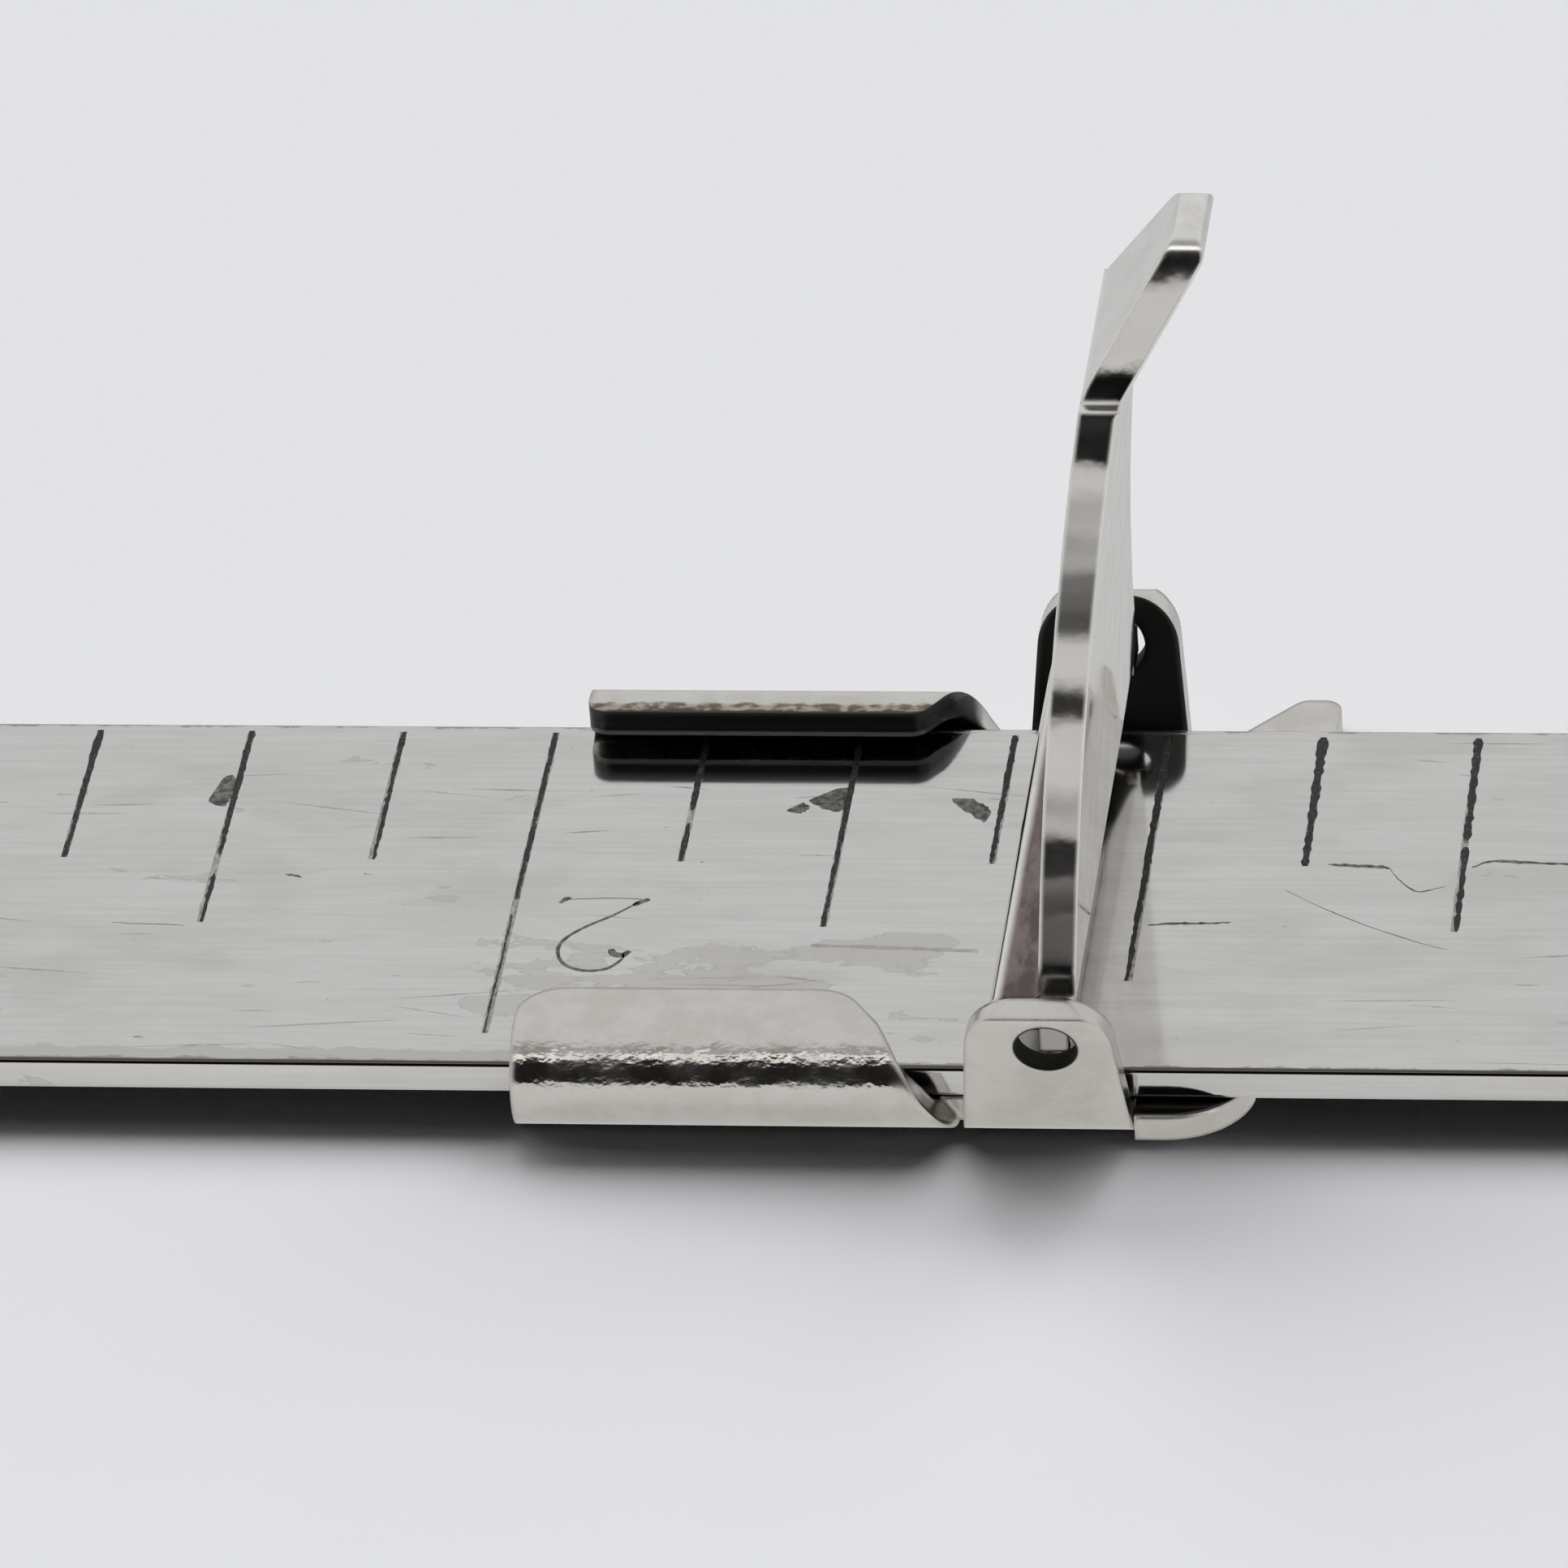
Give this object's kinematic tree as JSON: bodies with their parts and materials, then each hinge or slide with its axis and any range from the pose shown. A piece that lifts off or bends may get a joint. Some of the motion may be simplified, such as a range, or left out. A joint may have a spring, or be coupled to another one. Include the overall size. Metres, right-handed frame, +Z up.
{
  "type": "sewing gauge",
  "caption": "Slim graduated metal rule with a folded sheet slider that runs along it and a flip lever that locks the slider in place.",
  "frame": {"origin": "on the underside of the slider's base, straight below the lever's pivot at rest", "axes": "+X along the rule towards its zero end, +Y across the rule towards its graduated edge, +Z up"},
  "size_m": [0.1525, 0.0168, 0.0172],
  "materials": {
    "rule_steel": "polished strip steel with fine scratches and black filled graduations",
    "slider_plate": "bright nickel plated sheet, lightly tumbled",
    "lever_plate": "bright nickel plated sheet with sheared edges"
  },
  "bodies": {
    "rule": {"rule": "rule_steel"},
    "slider": {"slider": "slider_plate"},
    "lever": {"lever": "lever_plate"}
  },
  "joints": [
    {"name": "slider_slide", "type": "slide", "parent": "rule", "child": "slider", "axis": [1, 0, 0], "range_m": [-0.102, 0.0345]},
    {"name": "lever_pivot", "type": "hinge", "parent": "slider", "child": "lever", "pos_m": [0.00014, 0, 0.00278], "axis": [0, 1, 0], "range_deg": [-90, 80]}
  ]
}
